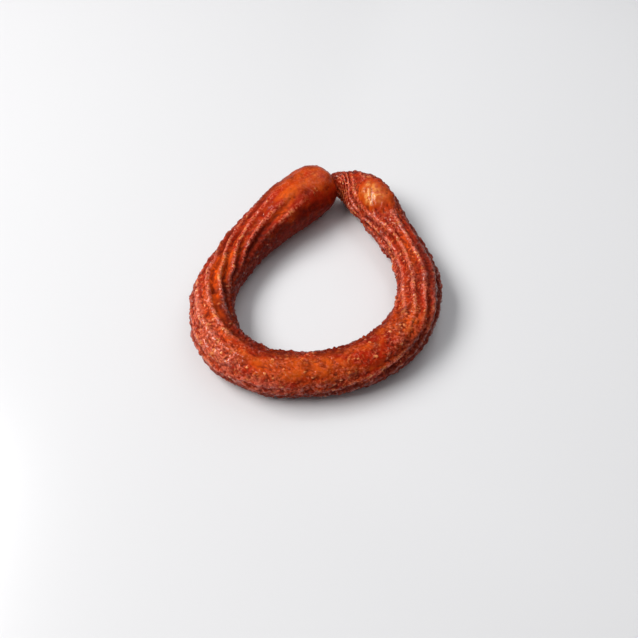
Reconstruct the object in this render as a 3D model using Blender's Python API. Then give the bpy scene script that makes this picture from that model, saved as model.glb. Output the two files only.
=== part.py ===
"""One fried cruller: a ridged rope of dough bent round into a teardrop ring.

The rope starts at a smooth round end, runs down the left side, round the near
side and up the right side, and its pinched tip is fused into the flank of the
round end. Twelve piped ridges run along it. They twist quickly on the left
side, fade to a faint grain on the near side and run almost straight on the
right side, where a smooth blister has pushed up through the top.
"""
import math
import bpy
import bmesh
from mathutils import Vector

MM = 0.001

# The rope's centre line from the round end to the pinched tip, in millimetres:
# (x, y, height of the axis, radius over the ridges).
STATIONS = [
    (-4.1, 48.8, 11.7, 12.3),
    (-14.9, 37.9, 11.4, 12.1),
    (-27.7, 23.5, 9.5, 10.1),
    (-38.0, 6.5, 8.6, 9.1),
    (-44.6, -14.5, 9.0, 9.5),
    (-39.4, -39.0, 9.3, 9.8),
    (-20.9, -52.4, 8.9, 9.5),
    (0.5, -53.5, 8.6, 9.2),
    (21.6, -46.8, 8.9, 9.5),
    (38.0, -31.2, 9.1, 9.6),
    (45.0, -9.2, 9.1, 9.8),
    (42.4, 10.0, 8.1, 8.6),
    (34.8, 28.3, 8.6, 9.1),
    (28.3, 42.1, 9.4, 10.0),
    (21.2, 51.8, 9.6, 10.2),
    (12.4, 56.1, 10.5, 6.7),
    (3.6, 54.5, 11.5, 3.8),
]

RIDGES = 12            # piped ridges round the rope
PER_RIDGE = 4          # points round the section for one ridge
RING_STEP = 3.7        # distance between rings along the rope, mm
CURVE_STEPS = 24       # straight pieces between two stations when measuring length
ROUND_END_RINGS = 5    # rings that round off the thick end
ROUND_END_SHAPE = (0.75, 1.08)  # (how pointed: 1 is half a ball, less is blunter; length in radii)
TIP_RINGS = 2          # rings that round off the pinched tip
MERGE = 0.02           # points closer than this become one after fusing, mm

# How deep the valleys between the ridges are: (mm along the rope, depth in mm).
RIDGE_DEPTH = [(0, 0.05), (10, 0.35), (26, 0.85), (45, 1.35), (88, 1.35), (104, 0.85), (120, 0.6),
               (150, 0.5), (178, 0.7), (200, 0.95), (220, 1.05), (262, 1.05), (300, 0.8)]
# How far the ridges have turned about the axis: (mm along the rope, degrees).
RIDGE_TURN = [(0, -74), (10, -74), (22, -76), (34, -84), (42, -90), (50, -101), (56, -111), (62, -124),
              (70, -130), (80, -143), (90, -151), (130, -172), (160, -192), (186, -219), (206, -253),
              (214, -261), (226, -266), (240, -267), (262, -269), (277, -265), (285, -240), (291, -195),
              (300, -110)]
# How far they fan apart where they come over the top there, degrees, and the middle of the fan.
RIDGE_FAN = [(58, 0), (84, 12), (104, 9), (125, 0)]
FAN_MIDDLE = 6
# The inward flank of the left side has no ridges: (degrees where they start to fade, and are
# gone), (mm along the rope, likewise).
PLAIN_ANGLES = (-45, -64)
PLAIN_PART = (96, 116)

UNEVEN = 0.16          # how much one ridge is deeper than the next, as a share
LUMPS = 0.12           # slow swelling of the whole rope, mm

# The smooth blister on top of the right side.
BLISTER_AT = 270.0     # mm along the rope
BLISTER_TURN = -4.0    # degrees from straight up
BLISTER_REACH = 9.3    # half its width across the rope, mm
BLISTER_STRETCH = 1.18 # and this much longer along it
BLISTER_HEIGHT = 2.2   # mm above the rope

# Shallow dents just before it: (mm along, degrees from straight up, reach and depth in mm).
DENTS = [(240.0, -100, 5.0, 0.9), (256.0, 62, 9.0, 0.9)]

# The dab of dough where the tip is pressed into the round end, mm.
WELD_AT = (5.6, 54.6, 11.4)
WELD_SIZE = (3.4, 3.0, 3.6)

COLOUR = (0.50, 0.15, 0.045, 1.0)
ROUGHNESS = 0.32


def between(keys, at):
    """Value of a (place, value) list at one place, on a smooth curve through it."""
    last = len(keys) - 1
    if at <= keys[0][0]:
        return float(keys[0][1])
    if at >= keys[last][0]:
        return float(keys[last][1])
    k = max(i for i in range(last) if keys[i][0] <= at)

    def slope(i):
        i, j = max(0, i - 1), min(last, i + 1)
        return (keys[j][1] - keys[i][1]) / (keys[j][0] - keys[i][0])

    (a, low), (b, high) = keys[k], keys[k + 1]
    t, span = (at - a) / (b - a), b - a
    return (low * (1 + 2 * t) * (1 - t) ** 2 + high * t * t * (3 - 2 * t)
            + slope(k) * span * t * (1 - t) ** 2 - slope(k + 1) * span * t * t * (1 - t))


def rounded_path(stations, per_span):
    """Smooth curve through the stations, with the radius carried along."""
    points = [Vector(p) for p in stations]
    first = points[0] * 2 - points[1]
    last = points[-1] * 2 - points[-2]
    knots = [first] + points + [last]
    out = []
    for k in range(1, len(knots) - 2):
        a, b, c, d = knots[k - 1:k + 3]
        for i in range(per_span):
            t = i / per_span
            out.append(0.5 * ((2 * b) + (c - a) * t + (2 * a - 5 * b + 4 * c - d) * t * t
                              + (3 * b - a - 3 * c + d) * t ** 3))
    out.append(points[-1])
    return out


def resample(curve, step):
    """Even steps along the curve: list of (distance, point with radius)."""
    lengths = [0.0]
    for a, b in zip(curve, curve[1:]):
        lengths.append(lengths[-1] + (b.xyz - a.xyz).length)
    count = max(2, round(lengths[-1] / step))
    out = []
    k = 0
    for i in range(count + 1):
        at = lengths[-1] * i / count
        while k < len(lengths) - 2 and lengths[k + 1] < at:
            k += 1
        t = (at - lengths[k]) / (lengths[k + 1] - lengths[k])
        out.append((at, curve[k].lerp(curve[k + 1], t)))
    return out


def ease(low, high, value):
    """0 at low, 1 at high, smooth between; low may be above high."""
    t = min(1.0, max(0.0, (value - low) / (high - low)))
    return t * t * (3 - 2 * t)


def half_turn(angle):
    """The same angle between minus and plus half a turn."""
    return (angle + math.pi) % (2 * math.pi) - math.pi


def ridge_angle(at, from_ridge):
    """Angle round from straight up of a line that keeps to its place among the ridges."""
    turned = from_ridge + math.radians(between(RIDGE_TURN, at))
    fan, middle = math.radians(between(RIDGE_FAN, at)), math.radians(FAN_MIDDLE)
    angle = turned
    for _ in range(4):
        angle = turned + fan * math.sin(angle - middle)
    return angle


def section_radius(at, from_ridge, angle, radius):
    """Distance from the axis to the surface at one angle round from straight up."""
    aside = radius * half_turn(angle - math.radians(BLISTER_TURN))
    away = math.hypot((at - BLISTER_AT) / BLISTER_STRETCH, aside) / BLISTER_REACH
    swell = max(0.0, 1 - away * away) * BLISTER_HEIGHT

    depth = between(RIDGE_DEPTH, at) * min(1.0, radius / 8.0)
    depth *= 1 + UNEVEN * (math.sin(3 * from_ridge + at / 29) + math.sin(5 * from_ridge - at / 17))
    plain = ease(*PLAIN_ANGLES, math.degrees(half_turn(angle))) * ease(PLAIN_PART[1], PLAIN_PART[0], at)
    depth *= ease(0.72, 1.12, away) * (1 - 0.95 * plain)
    valley = 0.5 - 0.5 * math.cos(RIDGES * from_ridge)
    lump = LUMPS * math.sin(2 * from_ridge + at / 21) * min(1.0, radius / 8.0)
    dent = 0.0
    for place, turn, reach, deep in DENTS:
        aside = half_turn(angle - math.radians(turn)) * radius
        dent += deep * math.exp(-1.6 * ((at - place) ** 2 + aside ** 2) / reach ** 2)
    return radius - depth * valley + lump + swell - dent


def end_rings(at, point, outward, count, shape):
    """Shrinking rings that round off an end, from the rope outward."""
    fullness, length = shape
    rings = []
    for i in range(1, count + 1):
        tilt = 0.5 * math.pi * i / (count + 0.6)
        centre = point.xyz + outward * point.w * length * math.sin(tilt)
        rings.append((at, centre, point.w * math.cos(tilt) ** fullness))
    return rings


def rope_rings():
    """Every ring as (mm along the rope, centre, direction, radius), and both poles."""
    even = resample(rounded_path(STATIONS, CURVE_STEPS), RING_STEP)
    (start_at, start), (finish_at, finish) = even[0], even[-1]
    ahead = (even[1][1].xyz - start.xyz).normalized()
    onward = (finish.xyz - even[-2][1].xyz).normalized()
    round_end = end_rings(start_at, start, -ahead, ROUND_END_RINGS, ROUND_END_SHAPE)
    rings = [(at, centre, ahead, radius) for at, centre, radius in reversed(round_end)]
    for k, (at, point) in enumerate(even):
        low, high = even[max(0, k - 1)][1].xyz, even[min(len(even) - 1, k + 1)][1].xyz
        rings.append((at, point.xyz, (high - low).normalized(), point.w))
    rings += [(at, centre, onward, radius) for at, centre, radius
              in end_rings(finish_at, finish, onward, TIP_RINGS, (1.0, 1.0))]
    return rings, start.xyz - ahead * start.w * ROUND_END_SHAPE[1], finish.xyz + onward * finish.w


def rope_mesh():
    """The whole rope as one closed skin; its tip runs into the round end."""
    rings, head_at, tail_at = rope_rings()
    mesh = bmesh.new()
    columns = RIDGES * PER_RIDGE
    loops = []
    for at, centre, along, radius in rings:
        side = along.cross(Vector((0, 0, 1))).normalized()
        up = side.cross(along).normalized()
        loop = []
        for c in range(columns):
            from_ridge = 2 * math.pi * c / columns
            angle = ridge_angle(at, from_ridge)
            reach = section_radius(at, from_ridge, angle, radius)
            place = centre + (side * math.sin(angle) + up * math.cos(angle)) * reach
            place.z = max(0.0, place.z)
            loop.append(mesh.verts.new(place * MM))
        loops.append(loop)
    for a, b in zip(loops, loops[1:]):
        for c in range(columns):
            d = (c + 1) % columns
            mesh.faces.new((a[c], a[d], b[d], b[c]))
    bmesh.ops.triangulate(mesh, faces=mesh.faces, quad_method="SHORT_EDGE")
    head, tail = mesh.verts.new(head_at * MM), mesh.verts.new(tail_at * MM)
    for c in range(columns):
        d = (c + 1) % columns
        mesh.faces.new((head, loops[0][d], loops[0][c]))
        mesh.faces.new((tail, loops[-1][c], loops[-1][d]))
    return mesh


def add_object(name, mesh):
    bmesh.ops.recalc_face_normals(mesh, faces=mesh.faces)
    data = bpy.data.meshes.new(name)
    mesh.to_mesh(data)
    mesh.free()
    thing = bpy.data.objects.new(name, data)
    bpy.context.scene.collection.objects.link(thing)
    return thing


def weld_tip(rope):
    """Fuse the pinched tip into the flank of the round end with a dab of dough."""
    dab = bmesh.new()
    bmesh.ops.create_uvsphere(dab, u_segments=16, v_segments=10, radius=1.0)
    for vert in dab.verts:
        vert.co = (Vector(WELD_AT) + Vector([c * r for c, r in zip(vert.co, WELD_SIZE)])) * MM
    dab = add_object("dab", dab)
    fuse = rope.modifiers.new("fuse", "BOOLEAN")
    fuse.operation = "UNION"
    fuse.solver = "EXACT"
    fuse.use_self = True
    fuse.object = dab
    graph = bpy.context.evaluated_depsgraph_get()
    fused = bpy.data.meshes.new_from_object(rope.evaluated_get(graph))
    rope.modifiers.clear()
    rope.data = fused
    bpy.data.objects.remove(dab, do_unlink=True)
    clean = bmesh.new()
    clean.from_mesh(fused)
    bmesh.ops.remove_doubles(clean, verts=clean.verts, dist=MERGE * MM)
    bmesh.ops.dissolve_degenerate(clean, edges=clean.edges, dist=MERGE * MM)
    bmesh.ops.triangulate(clean, faces=clean.faces)
    bmesh.ops.recalc_face_normals(clean, faces=clean.faces)
    clean.to_mesh(fused)
    clean.free()


def rest_and_centre(rope):
    """Stand it on z = 0 with the middle of its outline over the origin."""
    corners = [v.co.copy() for v in rope.data.vertices]
    middle = [0.5 * (min(c[k] for c in corners) + max(c[k] for c in corners)) for k in (0, 1)]
    lowest = min(c.z for c in corners)
    for vert in rope.data.vertices:
        vert.co -= Vector((middle[0], middle[1], lowest))


def material(rope):
    crust = bpy.data.materials.new("fried_crust")
    crust.use_nodes = True
    shader = crust.node_tree.nodes["Principled BSDF"]
    shader.inputs["Base Color"].default_value = COLOUR
    shader.inputs["Roughness"].default_value = ROUGHNESS
    crust.diffuse_color = COLOUR
    rope.data.materials.clear()
    rope.data.materials.append(crust)


for old in list(bpy.data.objects):
    bpy.data.objects.remove(old, do_unlink=True)

cruller = add_object("cruller", rope_mesh())
weld_tip(cruller)
rest_and_centre(cruller)
material(cruller)
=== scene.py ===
"""The looks of a fried cruller: one glazed, ridged rope of dough bent into a teardrop ring."""

import math

import bpy
import numpy as np
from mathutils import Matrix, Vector


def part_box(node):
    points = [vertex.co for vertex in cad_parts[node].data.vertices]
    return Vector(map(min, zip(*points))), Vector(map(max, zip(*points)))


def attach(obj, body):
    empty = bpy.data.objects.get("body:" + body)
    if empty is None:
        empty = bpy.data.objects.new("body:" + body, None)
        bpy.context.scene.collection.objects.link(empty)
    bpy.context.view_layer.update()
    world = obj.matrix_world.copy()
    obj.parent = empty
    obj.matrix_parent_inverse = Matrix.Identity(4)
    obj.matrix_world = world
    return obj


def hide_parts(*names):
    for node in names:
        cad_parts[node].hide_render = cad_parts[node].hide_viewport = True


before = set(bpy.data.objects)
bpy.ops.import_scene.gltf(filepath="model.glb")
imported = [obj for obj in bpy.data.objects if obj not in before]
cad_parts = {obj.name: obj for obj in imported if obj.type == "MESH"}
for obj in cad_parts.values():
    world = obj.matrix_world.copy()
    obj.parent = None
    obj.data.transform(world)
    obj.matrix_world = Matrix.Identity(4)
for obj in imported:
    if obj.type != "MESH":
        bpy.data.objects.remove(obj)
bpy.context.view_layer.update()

MM = 0.001

# ---------------------------------------------------------------------------
# The rope, as in the CAD model: (x, y, height of the axis, radius), in mm.
# ---------------------------------------------------------------------------
STATIONS = [
    (-4.1, 48.8, 11.7, 12.3),
    (-14.9, 37.9, 11.4, 12.1),
    (-27.7, 23.5, 9.5, 10.1),
    (-38.0, 6.5, 8.6, 9.1),
    (-44.6, -14.5, 9.0, 9.5),
    (-39.4, -39.0, 9.3, 9.8),
    (-20.9, -52.4, 8.9, 9.5),
    (0.5, -53.5, 8.6, 9.2),
    (21.6, -46.8, 8.9, 9.5),
    (38.0, -31.2, 9.1, 9.6),
    (45.0, -9.2, 9.1, 9.8),
    (42.4, 10.0, 8.1, 8.6),
    (34.8, 28.3, 8.6, 9.1),
    (28.3, 42.1, 9.4, 10.0),
    (21.2, 51.8, 9.6, 10.2),
    (12.4, 56.1, 10.5, 6.7),
    (3.6, 54.5, 11.5, 3.8),
]
RIDGES = 12
RIDGE_TURN = [(0, -74), (10, -74), (22, -76), (34, -84), (42, -90), (50, -101), (56, -111), (62, -124),
              (70, -130), (80, -143), (90, -151), (130, -172), (160, -192), (186, -219), (206, -253),
              (214, -261), (226, -266), (240, -267), (262, -269), (277, -265), (285, -240), (291, -195),
              (300, -110)]
# How far they fan apart where they come over the top, degrees, and the middle of the fan.
RIDGE_FAN = [(58, 0), (84, 12), (104, 9), (125, 0)]
FAN_MIDDLE = 6
# Depth of the grooves in mm: over the top, and what the outward flank adds to it.
RIDGE_DEPTH = [(0, 0.05), (10, 0.3), (26, 0.8), (45, 1.3), (86, 1.3), (102, 0.85), (118, 0.35),
               (150, 0.15), (178, 0.3), (200, 0.75), (220, 1.0), (262, 1.05), (285, 0.95), (300, 0.9)]
FLANK_DEPTH = [(110, 0.0), (150, 0.25), (172, 0.5), (200, 0.4), (225, 0.2), (250, 0.0)]
# The inward flank of the left arm has no ridges: (degrees where they start to fade, and are gone),
# and (mm along the rope where they are back in full, and where they start to come back).
PLAIN_ANGLES = (-45, -64)
PLAIN_UNTIL = (116, 96)
PLAIN_SHARE = 0.95
UNEVEN = 0.16              # how much the grooves' depth wavers, as a share
LUMPS = 0.12               # height of the rope's own lumps, mm

# The blister near the thin end: mm along the rope, degrees from the top, and sizes in mm.
BLISTER_AT = 270.0
BLISTER_TURN = -4.0
BLISTER_REACH = 9.3        # from its middle to its edge, across the rope
BLISTER_STRETCH = 1.18     # how much farther it reaches along the rope
BLISTER_HEIGHT = 2.2
BLISTER_PUSH = 2.3         # ridges bend round it within this many reaches
BLISTER_SQUEEZE = 0.42     # and a ridge beside it would otherwise run at this share of its distance

RINGS = 770                # rings of the fine skin along the rope
CAP_RINGS = 26             # further rings that round off the thick end
TIP_RINGS = 8              # and the thin end
CAP_FULLNESS = 0.75        # 1 rounds the thick end off as half a ball, less makes it blunter
CAP_LENGTH = 1.08          # how far it bulges out, as a share of the radius there
COLUMNS = 124              # points round the rope
UNDER_SHARE = 0.5          # how thinly the hidden underside is divided, against the top
FULL_RADIUS = 8.0          # where the rope is thinner than this, its relief is lower too
GIRTH = 2 * np.pi * 9.3    # mm round the usual rope


def between(keys, at):
    """Smooth curve through a list of (place, value), at many places at once."""
    places = np.array([k[0] for k in keys], float)
    values = np.array([k[1] for k in keys], float)
    slopes = np.empty(len(keys))
    slopes[1:-1] = (values[2:] - values[:-2]) / (places[2:] - places[:-2])
    slopes[0] = (values[1] - values[0]) / (places[1] - places[0])
    slopes[-1] = (values[-1] - values[-2]) / (places[-1] - places[-2])
    at = np.clip(at, places[0], places[-1])
    k = np.clip(np.searchsorted(places, at, side="right") - 1, 0, len(keys) - 2)
    span = places[k + 1] - places[k]
    t = (at - places[k]) / span
    return (values[k] * (1 + 2 * t) * (1 - t) ** 2 + values[k + 1] * t * t * (3 - 2 * t)
            + slopes[k] * span * t * (1 - t) ** 2 - slopes[k + 1] * span * t * t * (1 - t))


def ease(low, high, value):
    """0 at low, 1 at high, smooth between; low may be above high."""
    t = np.clip((value - low) / (high - low), 0, 1)
    return t * t * (3 - 2 * t)


def rope_axis(count):
    """Even points along the rope: (distances, x y z radius)."""
    p = np.array(STATIONS, float)
    knots = np.vstack([2 * p[0] - p[1], p, 2 * p[-1] - p[-2]])
    t = np.linspace(0, 1, 60, endpoint=False)[:, None]
    spans = []
    for k in range(1, len(knots) - 2):
        a, b, c, d = knots[k - 1:k + 3]
        spans.append(0.5 * ((2 * b) + (c - a) * t + (2 * a - 5 * b + 4 * c - d) * t * t
                            + (3 * b - a - 3 * c + d) * t ** 3))
    curve = np.vstack(spans + [p[-1:]])
    lengths = np.r_[0, np.cumsum(np.linalg.norm(np.diff(curve[:, :3], axis=0), axis=1))]
    at = np.linspace(0, lengths[-1], count)
    return at, np.stack([np.interp(at, lengths, curve[:, k]) for k in range(4)], -1)


class Skin:
    """The rope's surface as a grid: one row for each ring, one column round it."""

    def __init__(self):
        along_axis, axis = rope_axis(RINGS)
        heading = np.gradient(axis[:, :3], axis=0)
        heading /= np.linalg.norm(heading, axis=1)[:, None]
        start = np.linspace(0.5 * np.pi, 0, CAP_RINGS, endpoint=False)
        end = np.linspace(0.1, 0.5 * np.pi, TIP_RINGS)
        first, last = axis[0], axis[-1]
        bulge = CAP_LENGTH * first[3] * np.sin(start)
        cap = np.c_[first[:3] - heading[0] * bulge[:, None],
                    first[3] * np.maximum(np.cos(start) ** CAP_FULLNESS, 0.004)]
        tip = np.c_[last[:3] + heading[-1] * (last[3] * np.sin(end))[:, None],
                    last[3] * np.maximum(np.cos(end), 0.01)]
        rings = np.vstack([cap, axis, tip])
        self.centre, self.radius = rings[:, :3], rings[:, 3:]
        heading = np.vstack([np.repeat(heading[:1], CAP_RINGS, 0), heading,
                             np.repeat(heading[-1:], TIP_RINGS, 0)])
        side = np.cross(heading, [0, 0, 1.0])
        side /= np.linalg.norm(side, axis=1)[:, None]
        up = np.cross(side, heading)
        # Columns crowd on the top and the sides and thin out below.
        fine = np.linspace(-np.pi, np.pi, 4001)
        density = UNDER_SHARE + (1 - UNDER_SHARE) * ease(-0.9, -0.45, np.cos(fine))
        share = np.r_[0, np.cumsum(0.5 * (density[1:] + density[:-1]))]
        self.columns = np.interp(np.arange(COLUMNS) / COLUMNS * share[-1], share, fine)
        self.rows = np.r_[-bulge, along_axis, along_axis[-1] + last[3] * np.sin(end)]
        self.at, self.angle = np.meshgrid(self.rows, self.columns, indexing="ij")
        s, c = np.sin(self.angle)[..., None], np.cos(self.angle)[..., None]
        self.outward = s * side[:, None, :] + c * up[:, None, :]
        self.degrees = np.degrees(self.angle)
        self.small = np.minimum(1.0, self.radius / FULL_RADIUS)
        # How far each point is from the blister's middle, in reaches: along and across, and in all.
        sideways = (self.angle - math.radians(BLISTER_TURN) + np.pi) % (2 * np.pi) - np.pi
        self.blister = np.stack([(self.at - BLISTER_AT) / BLISTER_STRETCH, self.radius * sideways])
        self.blister = self.blister / BLISTER_REACH
        self.away = np.hypot(*self.blister)

    def noise(self, along, across, seed):
        """Smooth noise from -0.5 to 0.5 on the unrolled skin, in cells of along by across mm."""
        wide = max(3, round(GIRTH / across))
        tall = int((self.rows[-1] - self.rows[0]) / along) + 3
        table = np.random.default_rng(seed).random((tall, wide)) - 0.5
        v = (self.at - self.rows[0]) / along
        u = (self.angle / (2 * np.pi) + 0.5) * wide + 2.0 * (np.sin(v * 0.61 + seed) + np.sin(v * 0.23))
        i, j = np.floor(v).astype(int), np.floor(u).astype(int)
        p, q = v - i, u - j
        p, q = p * p * (3 - 2 * p), q * q * (3 - 2 * q)
        near = table[i, j % wide] * (1 - q) + table[i, (j + 1) % wide] * q
        far = table[i + 1, j % wide] * (1 - q) + table[i + 1, (j + 1) % wide] * q
        return near * (1 - p) + far * p

    def grains(self, rng, count, widths, lengths, heights, chance):
        """Small rounded grains that lie along the ridges, some askew: their height and their tint.

        Half widths, half lengths and heights are ranges in mm. The chance is a field from 0 to 1.
        Each grain has one tint from 0 to 1.
        """
        field, tints = np.zeros(self.at.shape), np.zeros(self.at.shape)
        turns = between(RIDGE_TURN, self.rows)
        lean = np.arctan(np.gradient(np.radians(turns), self.rows) * self.radius[:, 0])
        for _ in range(count):
            place, turn = rng.uniform(self.rows[0], self.rows[-1]), rng.uniform(-np.pi, np.pi)
            wide, tall = rng.uniform(*widths), rng.uniform(*heights)
            draw, tint = rng.random(), rng.random()
            long, askew = max(wide, rng.uniform(*lengths)), rng.normal(0, 0.5)
            i = min(int(np.searchsorted(self.rows, place)), len(self.rows) - 1)
            j = int(np.searchsorted(self.columns, turn)) % COLUMNS
            if draw > chance[i, j]:
                continue
            low, high = (int(np.searchsorted(self.rows, place + end * long)) for end in (-1, 1))
            aside = ((self.columns - turn + np.pi) % (2 * np.pi) - np.pi) * max(self.radius[i, 0], 0.5)
            cols = np.nonzero(np.abs(aside) < long)[0]
            if high <= low or not len(cols):
                continue
            c, s = math.cos(lean[i] + askew), math.sin(lean[i] + askew)
            ahead, aside = (self.rows[low:high] - place)[:, None], aside[cols][None, :]
            inside = 1 - ((ahead * c + aside * s) / long) ** 2 - ((aside * c - ahead * s) / wide) ** 2
            grain = tall * np.sqrt(np.clip(inside, 0, 1))
            under = field[low:high, cols]
            tints[low:high, cols] = np.where(grain > under, tint, tints[low:high, cols])
            field[low:high, cols] = np.maximum(under, grain)
        return field, tints


def blurred(field, reach):
    """The field softened over a few points each way, wrapping round the rope."""
    total = sum(np.roll(field, shift, 1) for shift in range(-reach, reach + 1))
    padded = np.pad(total, ((reach, reach), (0, 0)), mode="edge")
    return sum(padded[k:k + len(field)] for k in range(2 * reach + 1)) / (2 * reach + 1) ** 2


def shape_rope(skin):
    """Ridges, the lumps of the rope and the blister, in mm above the plain round rope."""
    # Ridges that meet the blister are pushed round it.
    freed = ease(0.85, BLISTER_PUSH, skin.away)
    pull = np.where(skin.away < BLISTER_PUSH, BLISTER_SQUEEZE + (1 - BLISTER_SQUEEZE) * freed, 1.0)
    place = BLISTER_AT + skin.blister[0] * BLISTER_REACH * BLISTER_STRETCH * pull
    turn = math.radians(BLISTER_TURN) + skin.blister[1] * BLISTER_REACH / skin.radius * pull
    fan = between(RIDGE_FAN, skin.at) * np.sin(np.radians(skin.degrees - FAN_MIDDLE))
    from_ridge = turn - np.radians(between(RIDGE_TURN, place) + fan)
    from_ridge = from_ridge + 0.10 * skin.noise(16, 14, 31) + 0.05 * skin.noise(5, 5, 32)

    depth = between(RIDGE_DEPTH, skin.at)
    depth = depth + between(FLANK_DEPTH, skin.at) * ease(40, 68, skin.degrees)
    waver = np.sin(3 * from_ridge + skin.at / 29) + np.sin(5 * from_ridge - skin.at / 17)
    depth = depth * (1 + UNEVEN * waver)
    depth = depth * (1 + 0.7 * skin.noise(7, 8, 33))
    depth = depth * (1 - PLAIN_SHARE * ease(*PLAIN_ANGLES, skin.degrees) * ease(*PLAIN_UNTIL, skin.at))
    depth = np.clip(depth, 0, 2) * skin.small * ease(0.72, 1.12, skin.away)
    # From 0 on a ridge to 1 in a groove; past the round end the ridges are narrower.
    sharper = 1.0 - 0.18 * ease(20, 50, skin.at)
    skin.valley = (0.5 - 0.5 * np.cos(RIDGES * from_ridge)) ** sharper
    skin.ribbed = np.clip(depth, 0, 1)
    skin.crest = ease(0.36, 0.88, 1 - skin.valley) * skin.ribbed
    lump = LUMPS * np.sin(2 * from_ridge + skin.at / 21) * skin.small
    swell = np.clip(1 - skin.away ** 2, 0, 1) * BLISTER_HEIGHT
    return lump + swell - depth * skin.valley


# Where the crisp crust of the outward side begins: (mm along the rope, degrees from the top).
CRISP_FROM = [(0, 75), (40, 70), (60, 42), (78, 14), (92, 8), (105, 20), (120, 38), (135, 50), (150, 60),
              (165, 62), (180, 56), (195, 46), (210, 34), (240, 36), (300, 30)]
# The middle of the lighter band that runs along the rope: (mm along the rope, degrees from the top).
# Away from it the crust is painted darker, partly browning and partly painted shade on the flanks.
LIGHT_BAND = [(0, -34), (30, -34), (45, -31), (60, -26), (75, -13), (90, 2), (105, 22), (120, 31), (135, 35),
              (150, 35), (165, 32), (180, 26), (195, 13), (210, 1), (225, -17), (240, -25), (255, -26),
              (270, -31), (285, -42), (300, -47)]
# How far the band reaches outward and inward before the crust turns dark, from browning and from painted
# shade: (mm along the rope, sine of the angle from the band's middle).
TOAST_AND_SHADE_OUT = [(0, 0.75), (20, 0.60), (60, 0.72), (80, 0.85), (105, 0.90), (135, 0.50), (172, 0.60),
             (195, 0.40), (225, 0.34), (242, 0.5), (252, 0.60), (270, 1.0), (285, 0.5), (300, 0.4)]
TOAST_AND_SHADE_IN = [(0, 0.45), (14, 0.30), (32, 0.0), (60, 0.04), (90, 0.08), (105, 0.30), (122, 0.45),
            (160, 0.52), (180, 0.68), (215, 0.80), (262, 0.80), (278, 0.9), (300, 1.0)]


# Single patches of colour: (mm along, degrees from the top, half length, half width in mm, amount).
# Those at 289 to 291 mm and -75 to -80 degrees are painted light, lifting the shade that the round end
# casts on the thin end's inward flank.
ORANGE_PATCHES = [(2, -50, 8, 3.5, 0.5), (2, -10, 9, 6.0, -0.2), (13, -34, 6, 2.0, -0.4),
                  (13, -16, 7, 3.5, 0.5), (24, -8, 12, 2.0, 0.15), (26, -8, 9, 5.0, -0.35),
                  (35, 10, 14, 2.5, -0.2), (36, -24, 10, 1.6, 0.2), (42, -31, 8, 2.5, -0.4),
                  (42, 5, 9, 3.0, 0.35), (66, -2, 11, 2.8, 1.2), (84, 13, 7, 2.0, 0.5),
                  (92, -4, 5, 2.5, 0.7), (128, 14, 14, 3.5, 0.5), (148, 10, 12, 3.5, 0.5),
                  (170, 14, 14, 3.0, -0.5), (190, 4, 8, 3.0, 0.4), (238, -12, 10, 1.8, 0.8),
                  (288, -25, 7, 4.0, -0.4), (291, -80, 7, 6.0, 0.6)]
DARK_PATCHES = [(2.5, -62, 7.0, 2.0, 0.35), (7.0, -33, 2.4, 1.8, 0.8), (13, -34, 6, 1.8, 0.15),
                (13, -17, 7, 3.5, -0.3), (27, -5, 9, 2.5, 0.3), (30, 6, 8, 1.5, 0.1),
                (42, -40, 7, 3.0, 0.8), (52, -74, 6, 4.0, 0.7), (148, 54, 11, 3.0, 0.3),
                (184, 50, 10, 2.6, 0.8), (224, 26, 12, 3.0, 0.5), (290, -80, 10, 9.0, -0.9)]
PALE_PATCHES = [(12, -18, 6, 4.0, -0.25), (26, -10, 9, 5.0, -0.25), (42, -8, 12, 4.0, 0.3),
                (86, -2, 9, 6.0, -0.2), (99, 18, 5, 4.0, 0.4), (108, 34, 7, 3.0, 0.3),
                (197, -4, 10, 4.0, 0.5), (216, -34, 9, 3.0, 0.4), (236, -80, 16, 4.0, 0.5),
                (250, -18, 7, 2.0, 0.7), (272, -92, 8, 5.0, -0.6), (289, -75, 9, 7.0, 1.0)]


def patched(skin, patches):
    """The sum of soft patches on the skin."""
    total = np.zeros(skin.at.shape)
    for at, turn, long, wide, amount in patches:
        across = np.radians((skin.degrees - turn + 180) % 360 - 180) * skin.radius
        total += amount * np.exp(-((skin.at - at) / long) ** 2 - (across / wide) ** 2)
    return total


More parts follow.
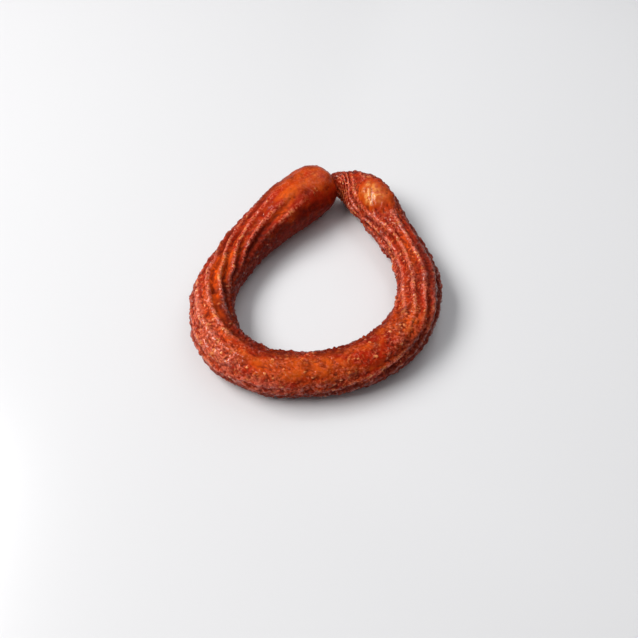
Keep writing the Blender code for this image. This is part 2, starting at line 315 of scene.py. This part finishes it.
def crust_zones(skin):
    """What the crust is like at each point, as fields from 0 to 1.

    crisp: how crumbly; toast: how dark, from browning and from painted shade on the flanks and rim;
    gold: the blister; orange: orange against red; dusty: how powdery the crumbs are, their pink partly
    a painted sheen; crest and deep: ridges and grooves; pale: how many pale crumbs, partly painted
    glints; glaze: wet.
    """
    at, angle = skin.at, skin.degrees
    patch, blotch = skin.noise(9, 8, 21), skin.noise(4, 3.5, 22)
    bare = ease(0.85, 1.15, skin.away + 0.3 * blotch)
    grown = ease(4, 45, at + 14 * blotch)
    outer = ease(-14, 14, angle - between(CRISP_FROM, at) + 34 * patch)
    inner = ease(-12, 14, -angle - 50 + 34 * patch) * (0.5 + 0.45 * ease(95, 130, at))
    bottom = 0.5 * ease(94, 110, at) * (1 + 2.0 * blotch + 1.0 * patch)
    ridged = skin.crest * (0.3 + 0.7 * ease(20, 75, at))
    glow = patched(skin, ORANGE_PATCHES)
    clear = 1 - 0.6 * np.clip(glow, 0, 1)
    crisp = np.maximum.reduce([outer, inner, bottom, ridged]) * grown * bare * clear

    # Away from the band the crust darkens: partly browned crust, partly painted shade on the flanks. rim
    # paints a dark edge where the flanks turn away and round the tip of the round end; beyond darkens the
    # underside.
    off = np.radians(np.clip(angle - between(LIGHT_BAND, at), -90, 90))
    side = np.sin(off) + 0.35 * patch + 0.2 * blotch
    toast_and_shade_out = ease(0, 0.42, side - between(TOAST_AND_SHADE_OUT, at))
    toast_and_shade_in = ease(0, 0.42, -side - between(TOAST_AND_SHADE_IN, at))
    beyond = ease(70, 100, np.abs(angle - between(LIGHT_BAND, at)))
    spots = ease(0.05, 0.34, skin.noise(6, 4.5, 24) + 0.4 * blotch)
    spots = spots * ease(2, 14, at) * (0.4 + 0.6 * ease(50, 80, at)) * (1 - 0.7 * outer)
    fair = ease(34, 16, at) * ease(-60, -20, angle)
    rim = np.maximum(ease(0.86, 1.0, np.abs(np.sin(off))), ease(-8.5, -11.0, at))
    gaps = (0.3 * ease(190, 205, at) + 0.4 * ease(248, 268, at)) * ease(291, 275, at)
    gaps = gaps * skin.ribbed * ease(0.3, 0.8, skin.valley)
    toast_and_shade = np.maximum.reduce([toast_and_shade_out, toast_and_shade_in, 0.8 * beyond, 0.6 * spots, 0.6 * rim, gaps])
    toast_and_shade = toast_and_shade + patched(skin, DARK_PATCHES)
    toast_and_shade = toast_and_shade * (0.3 + 0.7 * ease(0.9, 1.3, skin.away)) * clear

    # Powdery crust; its pink is partly a painted sheen of reflected light.
    dusty_and_sheen = outer * ease(46, 72, at) * ease(172, 125, at)
    dusty_and_sheen = np.maximum(dusty_and_sheen, ease(0.0, 0.6, np.sin(off)) * crisp * ease(140, 165, at) * 0.6)
    dusty_and_sheen = np.maximum(dusty_and_sheen, 0.9 * crisp * ease(172, 198, at))
    gold = (1 - ease(0.4, 1.1, skin.away + 0.4 * blotch)) * (1 - 0.6 * ease(-16, 14, angle))
    low_band = ease(105, 128, at) * ease(212, 190, at) * ease(62, 30, np.abs(angle - 10))
    bulb = ease(30, 12, at) * ease(-42, -8, angle)
    streak = (skin.noise(13, 2.2, 51) + 0.6 * skin.noise(6, 1.2, 52)) * ease(-10, 8, at)
    orange = 0.25 + 0.3 * low_band + 0.1 * bulb + 0.6 * patch + 0.9 * streak + glow
    orange = orange + 0.5 * (skin.valley - 0.5) * ease(100, 70, at) * ease(5, 25, at)
    orange = orange - 0.25 * ease(20, 34, at) * ease(80, 50, at) - 0.2 * ease(200, 215, at)
    wet = ease(50, 10, at + 30 * blotch) * ease(-58, -38, angle) * (1 - 0.6 * ease(-30, 5, angle))
    glaze = np.maximum(0.8 * np.clip(gold, 0, 1) ** 2, 0.3 * wet)
    deep = skin.ribbed * ease(0.35, 0.9, skin.valley)
    pale = 0.08 + 0.2 * fair + 0.7 * crisp - 0.12 * dusty_and_sheen + patched(skin, PALE_PATCHES) + 0.3 * skin.crest
    zones = {"crisp": crisp, "toast_and_shade": toast_and_shade, "gold": gold, "orange": orange, "dusty_and_sheen": dusty_and_sheen,
             "crest": skin.crest, "deep": deep, "pale": pale, "glaze": glaze}
    return {name: np.clip(field, 0, 1) for name, field in zones.items()}


# Single knobs and dents of the right arm: (mm along, degrees from the top, reach and height in mm).
KNOBS = [(224.5, -98, 3.2, 0.8), (231.5, -94, 3.6, 1.1), (240.0, -100, 5.0, -0.9), (249.5, -104, 3.2, 0.5),
         (262.0, -112, 3.6, 0.9), (256.0, 62, 9.0, -0.9), (246.0, 66, 6.0, -0.2)]


def crust_relief(skin, zones):
    """The fried crust: wrinkles, grains and glazed drops, in mm; also fills in the zones they colour."""
    rng = np.random.default_rng(11)
    crisp, bare = zones["crisp"], ease(0.85, 1.15, skin.away)
    cluster = ease(-0.22, 0.22, skin.noise(3.2, 2.6, 61) + 0.5 * skin.noise(7, 6, 62))
    chance = np.clip(0.04 + crisp * (0.25 + 0.75 * cluster), 0, 1) * bare
    fine, tint = skin.grains(rng, 36000, (0.32, 0.55), (0.4, 1.1), (0.12, 0.42), chance)
    beads, bead_tint = skin.grains(rng, 7000, (0.45, 0.85), (0.6, 1.4), (0.25, 0.6),
                                   (0.9 * skin.crest + 0.12) * chance)
    drops, _ = skin.grains(rng, 2600, (0.35, 0.75), (0.4, 0.9), (0.25, 0.75),
                           (0.13 * ease(40, 110, skin.at) + 0.03) * bare)
    off = np.radians(np.clip(skin.degrees - between(LIGHT_BAND, skin.at), -90, 90))
    nubs, _ = skin.grains(rng, 6000, (0.5, 0.9), (0.6, 1.3), (0.35, 0.8),
                          0.4 * ease(0.78, 0.9, np.abs(np.sin(off))) * ease(30, 60, skin.at))
    grown = np.maximum.reduce([fine, beads, drops, nubs])
    tint = np.where(beads > fine, bead_tint, tint)
    # Drops get tint 1.5, which marks their tops for a painted glint.
    tint = np.where(drops > np.maximum(fine, beads), 1.5, tint) * ((grown > 0) & (nubs < grown))
    zones["tint"], zones["drop"] = tint, np.clip(drops / 0.3, 0, 1)
    zones["toast_and_shade"] = np.maximum(zones["toast_and_shade"], 0.9 * ((nubs > 0.1) & (nubs >= grown)))

    torn, dimple, soft = skin.noise(1.3, 1.0, 5), skin.noise(2.6, 1.6, 9), skin.noise(4.5, 4.0, 3)
    flow = skin.noise(12, 2.6, 44) + 0.6 * skin.noise(5, 1.8, 45)
    height = grown + crisp * (0.4 * torn + 0.45 * dimple) + 0.6 * soft
    height += (1 - 0.6 * crisp) * bare * (0.4 * flow + 0.22 * skin.noise(1.6, 0.8, 46))
    height += (1 - bare) * (0.6 * skin.noise(4.0, 1.3, 41) + 0.45 * skin.noise(1.5, 0.9, 42))
    for place, turn, reach, tall in KNOBS:
        from_knob = np.hypot(skin.at - place, np.radians(skin.degrees - turn) * skin.radius) / reach
        height += tall * np.exp(-1.6 * from_knob ** 2)
    # A few glazed pimples on the round end, each with a painted glint (tint 1.5) on top.
    spot = ease(3.2, 1.0, np.hypot(skin.at - 3.1, (skin.degrees + 43) * 0.21))
    pimples, _ = skin.grains(rng, 9000, (0.42, 0.6), (0.42, 0.6), (0.35, 0.5), 0.9 * spot)
    zones["drop"] = np.maximum(zones["drop"], np.clip(pimples / 0.3, 0, 1))
    zones["tint"] = np.where(pimples > 0.05, 1.5, zones["tint"])
    return (height + pimples) * skin.small


def grid_mesh(name, points):
    """A closed mesh over a grid of points whose columns run round; the first and last rows are capped."""
    rows, columns = points.shape[:2]
    index = np.arange(rows * columns).reshape(rows, columns)
    beside = np.roll(index, -1, 1)
    quads = np.stack([index[:-1], beside[:-1], beside[1:], index[1:]], -1).reshape(-1, 4)
    faces = quads.tolist() + [index[0][::-1].tolist(), index[-1].tolist()]
    mesh = bpy.data.meshes.new(name)
    mesh.from_pydata(points.reshape(-1, 3).tolist(), [], faces)
    mesh.shade_smooth()
    # The skin laid out flat as two bands, one for each half of the rope's length, and the two caps as
    # small discs beside them.
    row, column = np.divmod(np.arange(len(quads)), columns)
    half = rows // 2
    second = row >= half
    along = (row - half * second)[:, None] + [0, 0, 1, 1]
    along = along / np.where(second, rows - 1 - half, half)[:, None]
    across = (column[:, None] + [0, 1, 1, 0]) / columns
    sheet = np.stack([0.004 + 0.992 * along, 0.005 + 0.485 * across + 0.495 * second[:, None]], -1)
    turn = np.arange(columns) * 2 * np.pi / columns
    disc = 0.005 * np.stack([np.cos(turn), np.sin(turn)], -1)
    flat = mesh.uv_layers.new(name="OFBake")
    places = np.vstack([sheet.reshape(-1, 2), disc + [0.01, 0.992], disc + [0.03, 0.992]])
    flat.data.foreach_set("uv", places.ravel().astype(np.float32))
    return mesh


def build_crust():
    skin = Skin()
    relief = shape_rope(skin)
    zones = crust_zones(skin)
    height = crust_relief(skin, zones)

    def placed(reach):
        points = skin.centre[:, None, :] + reach[..., None] * skin.outward
        points[..., 2] = np.maximum(points[..., 2], 0)
        return points

    plain = placed(skin.radius + relief).reshape(-1, 3)
    low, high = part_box("cruller")
    shift = np.array([0.5 * (low.x + high.x) / MM, 0.5 * (low.y + high.y) / MM, 0])
    shift[:2] -= 0.5 * (plain.min(0) + plain.max(0))[:2]
    whole = relief + height
    mesh = grid_mesh("crust", (placed(skin.radius + whole) + shift) * MM)
    # What stands out from the skin close by is 1, and what lies deeper is 0.
    fine = height + 0.65 * relief
    zones["proud"] = np.clip(0.5 + (fine - blurred(fine, 3)) / 0.5, 0, 1)
    for name, field in zones.items():
        values = field.ravel().astype(np.float32)
        mesh.attributes.new(name, "FLOAT", "POINT").data.foreach_set("value", values)
    crust = bpy.data.objects.new("fried_crust", mesh)
    bpy.context.scene.collection.objects.link(crust)
    return crust


# ---------------------------------------------------------------------------
# Material
# ---------------------------------------------------------------------------
class Nodes:
    """Short calls that add nodes to a material."""

    def __init__(self, material):
        material.use_nodes = True
        self.tree = material.node_tree
        self.shader = self.tree.nodes["Principled BSDF"]
        self.where = self.tree.nodes.new("ShaderNodeTexCoord").outputs["Object"]

    def fill(self, node, values):
        for key, value in values:
            if isinstance(value, bpy.types.NodeSocket):
                self.tree.links.new(value, node.inputs[key])
            else:
                node.inputs[key].default_value = value
        return node

    def attribute(self, name):
        node = self.tree.nodes.new("ShaderNodeAttribute")
        node.attribute_name = name
        return node.outputs["Fac"]

    def noise(self, scale, detail, roughness=0.55):
        """Noise with so many cells in a metre."""
        node = self.tree.nodes.new("ShaderNodeTexNoise")
        self.fill(node, (("Vector", self.where), ("Scale", scale), ("Detail", detail),
                         ("Roughness", roughness)))
        return node.outputs["Fac"]

    def maths(self, operation, *values):
        node = self.tree.nodes.new("ShaderNodeMath")
        node.operation = operation
        return self.fill(node, enumerate(values)).outputs[0]

    def mix(self, factor, first, second):
        node = self.tree.nodes.new("ShaderNodeMix")
        node.data_type = "RGBA"
        return self.fill(node, ((0, factor), (6, first), (7, second))).outputs[2]

    def ranged(self, value, low, high, to_low=0.0, to_high=1.0):
        """to_low where the value is low, to_high where it is high, smooth between."""
        node = self.tree.nodes.new("ShaderNodeMapRange")
        node.interpolation_type = "SMOOTHSTEP"
        return self.fill(node, enumerate((value, low, high, to_low, to_high))).outputs[0]


def crust_material():
    material = bpy.data.materials.new("glazed_crust")
    n = Nodes(material)
    crisp, toast_and_shade, gold, orange, dusty_and_sheen, crest, deep, pale_zone, glaze, proud, tint, drop = [
        n.attribute(name) for name in ("crisp", "toast_and_shade", "gold", "orange", "dusty_and_sheen", "crest", "deep", "pale",
                                       "glaze", "proud", "tint", "drop")]

    red_dough = (0.46, 0.020, 0.002, 1)
    orange_dough = (0.66, 0.090, 0.006, 1)
    blister_skin = (0.61, 0.095, 0.010, 1)
    blister_pale_and_highlight = (0.88, 0.31, 0.070, 1)
    pink_crumb_and_glint = (0.86, 0.180, 0.090, 1)
    gold_crumb_and_glint = (0.92, 0.31, 0.082, 1)
    crumb_body = (0.38, 0.022, 0.008, 1)
    dusty_sheen_body = (0.54, 0.112, 0.066, 1)
    groove_dough_and_painted_light = (0.80, 0.080, 0.003, 1)
    toast_and_shade_brown = (0.11, 0.007, 0.003, 1)

    # The fried dough, its blister, and the brighter, redder colour in its grooves: partly the dough's own,
    # partly painted light lifting the grooves' shade.
    cloud = n.ranged(n.noise(240, 3), 0.3, 0.7, -0.25, 0.25)
    tone = n.mix(n.maths("ADD", orange, cloud), red_dough, orange_dough)
    # Pale wrinkles on the blister: partly paler dough, partly a painted highlight.
    wrinkles_and_highlight = n.maths("MULTIPLY", n.ranged(n.noise(560, 2), 0.38, 0.62), n.ranged(gold, 0.42, 0.95))
    tone = n.mix(gold, tone, n.mix(wrinkles_and_highlight, blister_skin, blister_pale_and_highlight))
    tone = n.mix(n.maths("MULTIPLY", deep, n.ranged(orange, 0.0, 0.6, 0.1, 0.9)), tone, groove_dough_and_painted_light)

    # The crumbly crust over it, its pink partly a painted sheen of reflected light; and what is dark, from
    # browning and from painted shade.
    dust_and_sheen = n.maths("MULTIPLY", dusty_and_sheen, n.ranged(n.noise(340, 2), 0.42, 0.57, 0.1, 1.0))
    tone = n.mix(n.maths("MULTIPLY", crisp, 0.6), tone, n.mix(dust_and_sheen, crumb_body, dusty_sheen_body))
    singed_and_shaded = n.maths("MULTIPLY", toast_and_shade, n.ranged(n.noise(450, 3), 0.3, 0.7, 0.95, 0.6))
    tone = n.mix(singed_and_shaded, tone, toast_and_shade_brown)
    mottle = n.ranged(n.noise(330, 2), 0.47, 0.36)
    tone = n.mix(n.maths("MULTIPLY", mottle, n.maths("MULTIPLY_ADD", crisp, 0.25, 0.1)), tone, toast_and_shade_brown)

    # Pale crumbs and pale lines along the ridges, partly paler crust and partly painted glints; on glazed
    # drops and pimples, a painted glint.
    crumb_and_glint = n.mix(n.ranged(n.noise(300, 2), 0.48, 0.68), pink_crumb_and_glint, gold_crumb_and_glint)
    grain = n.maths("MULTIPLY", n.ranged(tint, 0.35, 1.0), n.ranged(proud, 0.42, 0.8))
    # A painted glint on the tops of glazed drops and pimples.
    painted_drop_glint = n.maths("MULTIPLY", n.ranged(tint, 1.1, 1.4), n.ranged(proud, 0.5, 0.85, 0.0, 0.8))
    fleck = n.ranged(n.noise(1000, 1), 0.53, 0.61)
    line = n.maths("MULTIPLY", n.ranged(crest, 0.25, 0.9), n.ranged(n.noise(860, 1), 0.44, 0.58, 0.0, 1.0))
    pale = n.maths("MULTIPLY", n.maths("MAXIMUM", n.maths("MULTIPLY", grain, 0.6), fleck),
                   n.maths("MULTIPLY", pale_zone, 0.78))
    pale = n.maths("MAXIMUM", pale, n.maths("MULTIPLY", line, 0.75))
    tone = n.mix(n.maths("MULTIPLY", pale, n.ranged(toast_and_shade, 0, 1, 1.0, 0.25)), tone, crumb_and_glint)
    tone = n.mix(n.maths("MULTIPLY", painted_drop_glint, n.ranged(toast_and_shade, 0, 1, 1.0, 0.4)), tone, gold_crumb_and_glint)

    # Dark pits, and painted shade darkening whatever lies deep between crumbs.
    burnt = n.maths("MULTIPLY", n.ranged(n.noise(930, 1), 0.46, 0.36),
                    n.maths("MULTIPLY_ADD", crisp, n.ranged(dusty_and_sheen, 0, 1, 0.5, 0.3), 0.12))
    tone = n.mix(burnt, tone, toast_and_shade_brown)
    tone = n.mix(n.ranged(proud, 0.0, 0.42, 0.7, 0.0), tone, toast_and_shade_brown)

    # Syrup and oil gleam on grains, drops and ridges.
    wet_grain = n.maths("MULTIPLY", crisp, n.ranged(tint, 0.2, 0.6))
    glints = n.maths("MULTIPLY", n.maths("MAXIMUM", wet_grain, drop), n.ranged(proud, 0.40, 0.7))
    glints = n.maths("MAXIMUM", glints, n.maths("MULTIPLY", line, 0.8))
    coat = n.maths("MAXIMUM", glints, glaze)
    n.fill(n.shader, (("Base Color", tone), ("Roughness", 0.45), ("Specular IOR Level", 0.05),
                      ("Coat Weight", coat), ("Coat Roughness", 0.08)))
    bump = n.tree.nodes.new("ShaderNodeBump")
    n.fill(bump, (("Strength", n.maths("MULTIPLY_ADD", crisp, 0.3, 0.2)), ("Distance", 0.00015),
                  ("Height", n.noise(1500, 2, 0.5))))
    n.fill(n.shader, (("Normal", bump.outputs[0]), ("Coat Normal", bump.outputs[0])))
    return material


crust = build_crust()
crust.data.materials.append(crust_material())
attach(crust, "root")
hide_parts("cruller")


# ---------------------------------------------------------------------------
# Floor, light and camera
# ---------------------------------------------------------------------------
def make_floor():
    mesh = bpy.data.meshes.new("floor")
    reach = 3.0
    mesh.from_pydata([(-reach, -reach, 0), (reach, -reach, 0), (reach, reach, 0), (-reach, reach, 0)],
                     [], [(0, 1, 2, 3)])
    floor = bpy.data.objects.new("floor", mesh)
    bpy.context.scene.collection.objects.link(floor)
    material = bpy.data.materials.new("pale_floor")
    n = Nodes(material)
    n.fill(n.shader, (("Base Color", (0.80, 0.80, 0.81, 1)), ("Roughness", 0.22)))
    mesh.materials.append(material)


def window_light(name, bearing, height, distance, size, power, colour):
    """A soft rectangular light at a compass bearing and a height in degrees, facing the ring."""
    data = bpy.data.lights.new(name, "AREA")
    data.shape = "RECTANGLE"
    data.size, data.size_y = size
    data.energy = power
    data.color = colour
    lamp = bpy.data.objects.new(name, data)
    bearing, height = math.radians(bearing), math.radians(height)
    place = distance * Vector((math.cos(bearing) * math.cos(height), math.sin(bearing) * math.cos(height),
                               math.sin(height)))
    lamp.location = place
    lamp.rotation_euler = (-place).to_track_quat("-Z", "Y").to_euler()
    bpy.context.scene.collection.objects.link(lamp)


def make_camera():
    data = bpy.data.cameras.new("camera")
    data.lens = 52.3
    data.sensor_width = 36.0
    data.clip_start, data.clip_end = 0.01, 20.0
    camera = bpy.data.objects.new("camera", data)
    camera.location = (-0.0008, -0.2718, 0.3152)
    camera.rotation_euler = [math.radians(a) for a in (38.88, -0.47, 0.22)]
    bpy.context.scene.collection.objects.link(camera)
    bpy.context.scene.camera = camera


def make_world():
    world = bpy.data.worlds.new("studio")
    world.use_nodes = True
    background = world.node_tree.nodes["Background"]
    background.inputs["Color"].default_value = (0.95, 0.97, 1.0, 1)
    background.inputs["Strength"].default_value = 0.16
    bpy.context.scene.world = world


make_floor()
make_world()
window_light("window", 178, 50, 1.1, (1.0, 0.5), 13.6, (1.0, 0.99, 0.98))
window_light("back_fill", 60, 45, 1.1, (0.9, 0.9), 2.2, (0.97, 0.98, 1.0))
window_light("ceiling", -60, 78, 1.2, (1.2, 1.2), 1.6, (0.97, 0.98, 1.0))
make_camera()
bpy.context.scene.view_settings.view_transform = "Standard"
